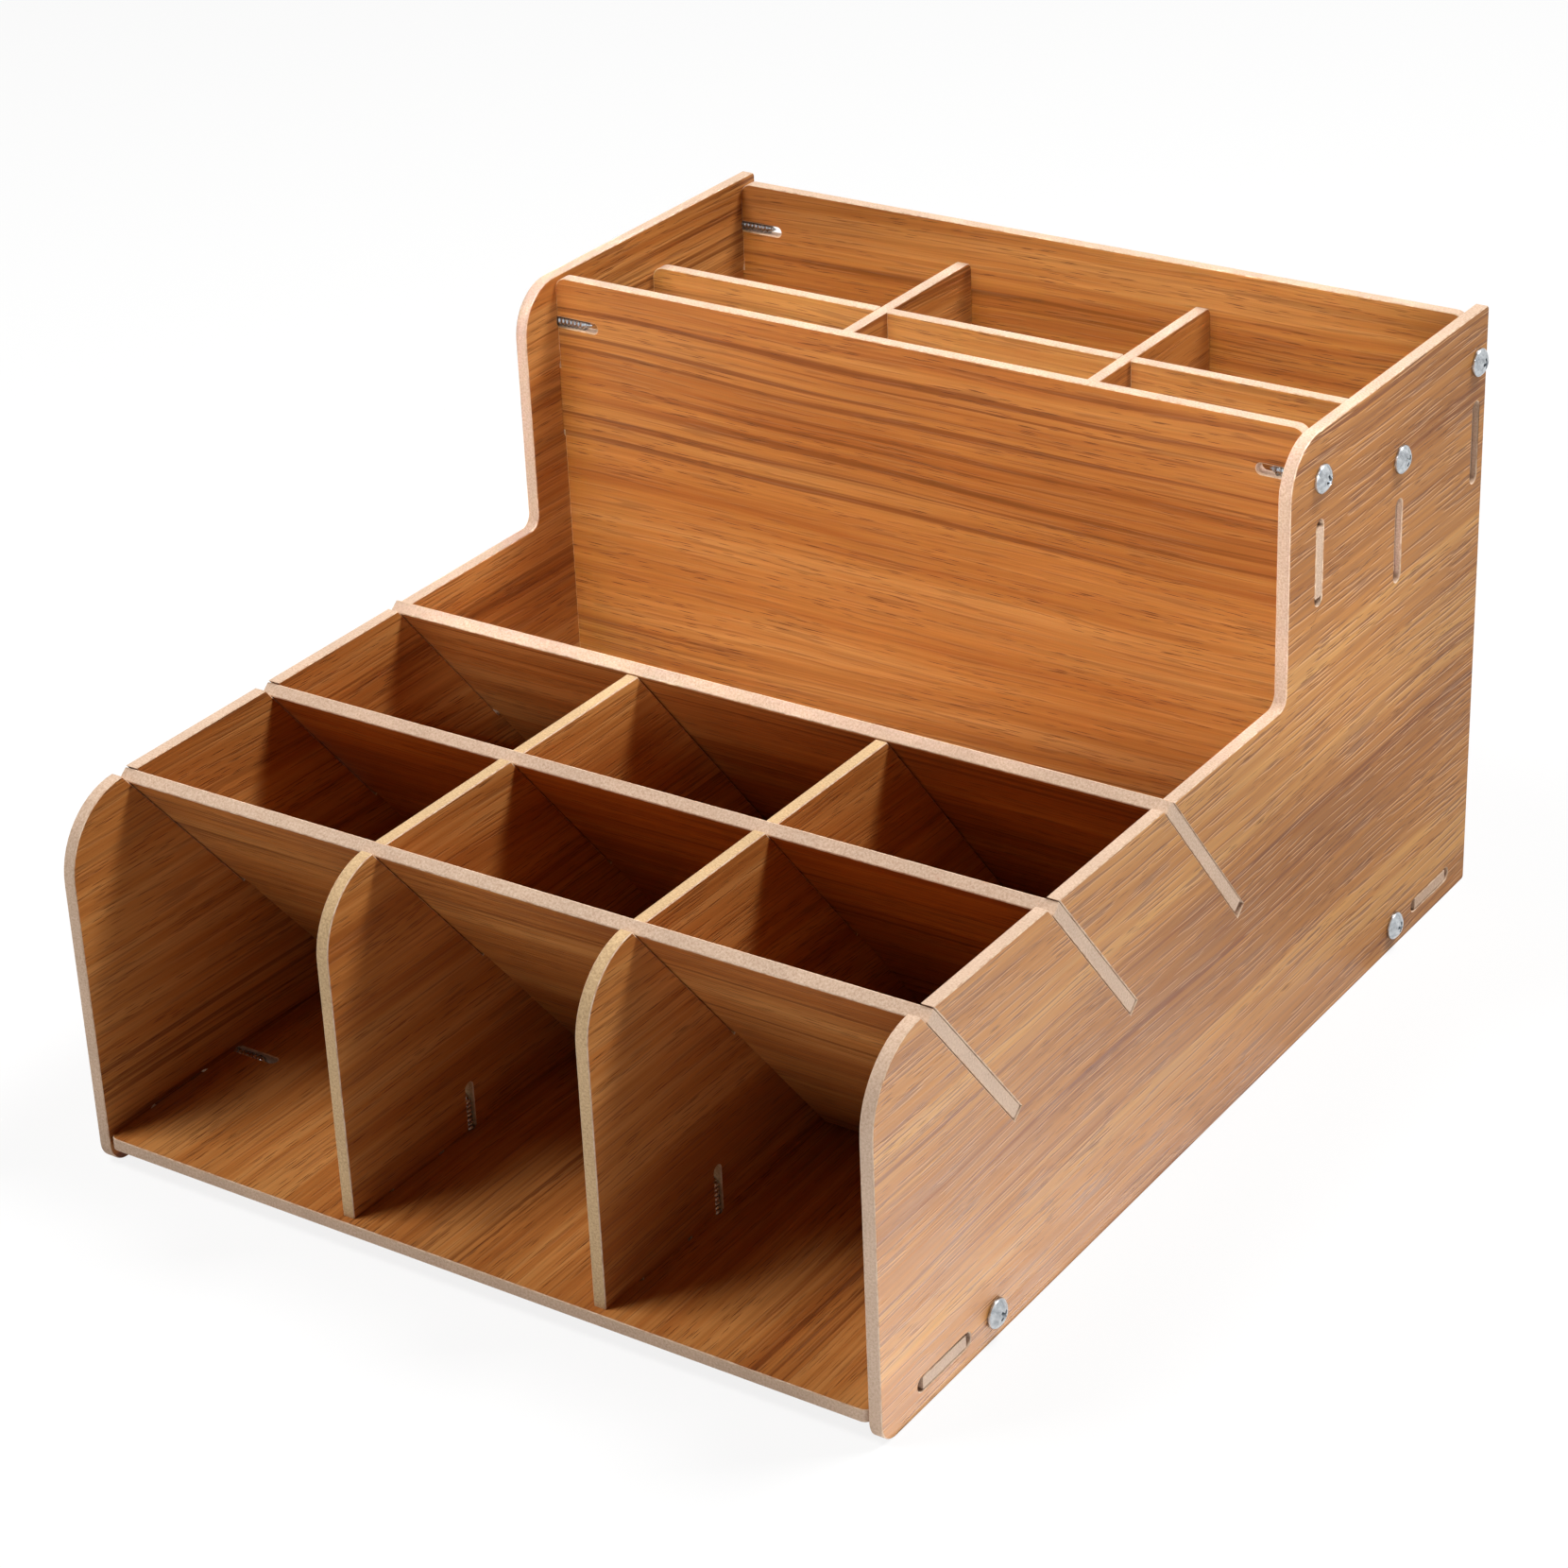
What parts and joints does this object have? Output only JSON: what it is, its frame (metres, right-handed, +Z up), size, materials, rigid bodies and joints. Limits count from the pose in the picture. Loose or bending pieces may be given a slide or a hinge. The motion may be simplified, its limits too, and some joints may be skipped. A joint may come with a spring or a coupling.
{
  "type": "desk organizer",
  "caption": "Stepped desk organizer of thin screwed wood boards: open bays and leaning pockets in front, a tall divided box behind, for pens and small stationery.",
  "frame": {"origin": "on the table under the middle of the organizer", "axes": "+X to the right seen from the front, +Y from the low front to the tall back, +Z up"},
  "size_m": [0.2044, 0.26, 0.1455],
  "materials": {
    "wood_laminate": "cherry-brown wood-grain laminate on fibreboard, satin, with raw pale tan edges",
    "zinc_steel": "bright zinc plating"
  },
  "bodies": {
    "frame": {"left_side_panel": "wood_laminate", "right_side_panel": "wood_laminate", "base_panel": "wood_laminate", "left_long_divider": "wood_laminate", "right_long_divider": "wood_laminate", "rear_box_front_wall": "wood_laminate", "rear_box_middle_wall": "wood_laminate", "rear_box_back_wall": "wood_laminate", "left_base_front_screw": "zinc_steel", "left_base_rear_screw": "zinc_steel", "left_front_wall_screw": "zinc_steel", "left_middle_wall_screw": "zinc_steel", "left_back_wall_screw": "zinc_steel", "left_divider_front_screw": "zinc_steel", "left_divider_rear_screw": "zinc_steel", "right_base_front_screw": "zinc_steel", "right_base_rear_screw": "zinc_steel", "right_front_wall_screw": "zinc_steel", "right_middle_wall_screw": "zinc_steel", "right_back_wall_screw": "zinc_steel", "right_divider_front_screw": "zinc_steel", "right_divider_rear_screw": "zinc_steel"},
    "front_partition": {"front_slanted_partition": "wood_laminate"},
    "middle_partition": {"middle_slanted_partition": "wood_laminate"},
    "rear_partition": {"rear_slanted_partition": "wood_laminate"},
    "left_cell_divider": {"left_cross_divider": "wood_laminate"},
    "right_cell_divider": {"right_cross_divider": "wood_laminate"}
  },
  "joints": [
    {"name": "front_partition_lift", "type": "slide", "parent": "frame", "child": "front_partition", "axis": [0, -0.6293, 0.7771], "range_m": [0, 0.048]},
    {"name": "middle_partition_lift", "type": "slide", "parent": "frame", "child": "middle_partition", "axis": [0, -0.6293, 0.7771], "range_m": [0, 0.048]},
    {"name": "rear_partition_lift", "type": "slide", "parent": "frame", "child": "rear_partition", "axis": [0, -0.6293, 0.7771], "range_m": [0, 0.048]},
    {"name": "left_cell_divider_lift", "type": "slide", "parent": "frame", "child": "left_cell_divider", "axis": [0, 0, 1], "range_m": [0, 0.063]},
    {"name": "right_cell_divider_lift", "type": "slide", "parent": "frame", "child": "right_cell_divider", "axis": [0, 0, 1], "range_m": [0, 0.063]}
  ]
}
